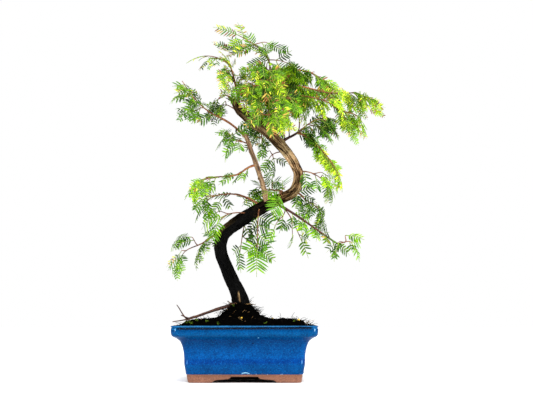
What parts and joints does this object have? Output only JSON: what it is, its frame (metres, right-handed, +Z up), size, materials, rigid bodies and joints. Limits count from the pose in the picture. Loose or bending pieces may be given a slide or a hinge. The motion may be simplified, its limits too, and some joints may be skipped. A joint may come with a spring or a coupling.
{
  "type": "dawn redwood bonsai in a pot",
  "caption": "Bonsai dawn redwood: an S-shaped trunk with slim boughs and flat sprays of soft needles, rooted in mounded soil in a low blue glazed rectangular pot on bare clay feet.",
  "frame": {"origin": "on the ground that the pot's feet stand on, under the middle of the whole plant's box", "axes": "+Z up the trunk, front of the pot and tree towards -Y, +X to the right as seen from the front"},
  "size_m": [0.2442, 0.1668, 0.3904],
  "materials": {
    "glaze": "gloss",
    "clay": "matte",
    "soil": "matte",
    "bark": "matte",
    "twig": "matte",
    "foliage": "satin"
  },
  "bodies": {
    "root": {"apex_mass": "foliage", "back_bough": "bark", "back_high_bough": "twig", "back_high_mass": "foliage", "back_left_bough": "twig", "back_left_mass": "foliage", "back_low_bough": "twig", "back_low_mass": "foliage", "back_mass": "foliage", "cascade_mass": "foliage", "centre_mass": "foliage", "crown_front_mass": "foliage", "crown_left_mass": "foliage", "crown_middle_mass": "foliage", "crown_top_left_mass": "foliage", "crown_top_mass": "foliage", "foot_back_left": "clay", "foot_back_right": "clay", "foot_front_left": "clay", "foot_front_right": "clay", "front_bough": "bark", "front_low_mass": "foliage", "front_mass": "foliage", "front_right_bough": "twig", "hanging_mass": "foliage", "inner_mass": "foliage", "leader_bough": "bark", "left_bottom_bough": "twig", "left_bottom_mass": "foliage", "left_bough": "twig", "left_fan_mass": "foliage", "left_high_mass": "foliage", "left_low_bough": "twig", "left_low_mass": "foliage", "left_middle_bough": "twig", "left_middle_mass": "foliage", "low_bough": "twig", "pot_body": "glaze", "right_back_bough": "twig", "right_back_mass": "foliage", "right_bough": "twig", "right_long_bough": "twig", "right_long_mass": "foliage", "right_low_mass": "foliage", "right_tip_mass": "foliage", "right_under_mass": "foliage", "shoulder_bough": "twig", "shoulder_mass": "foliage", "soil": "soil", "straight_bough": "bark", "tail_bough": "twig", "tail_mass": "foliage", "top_left_bough": "twig", "top_left_mass": "foliage", "trunk": "bark", "twiggy_bough": "bark", "under_back_mass": "foliage", "under_left_mass": "foliage", "under_right_mass": "foliage"}
  },
  "joints": []
}
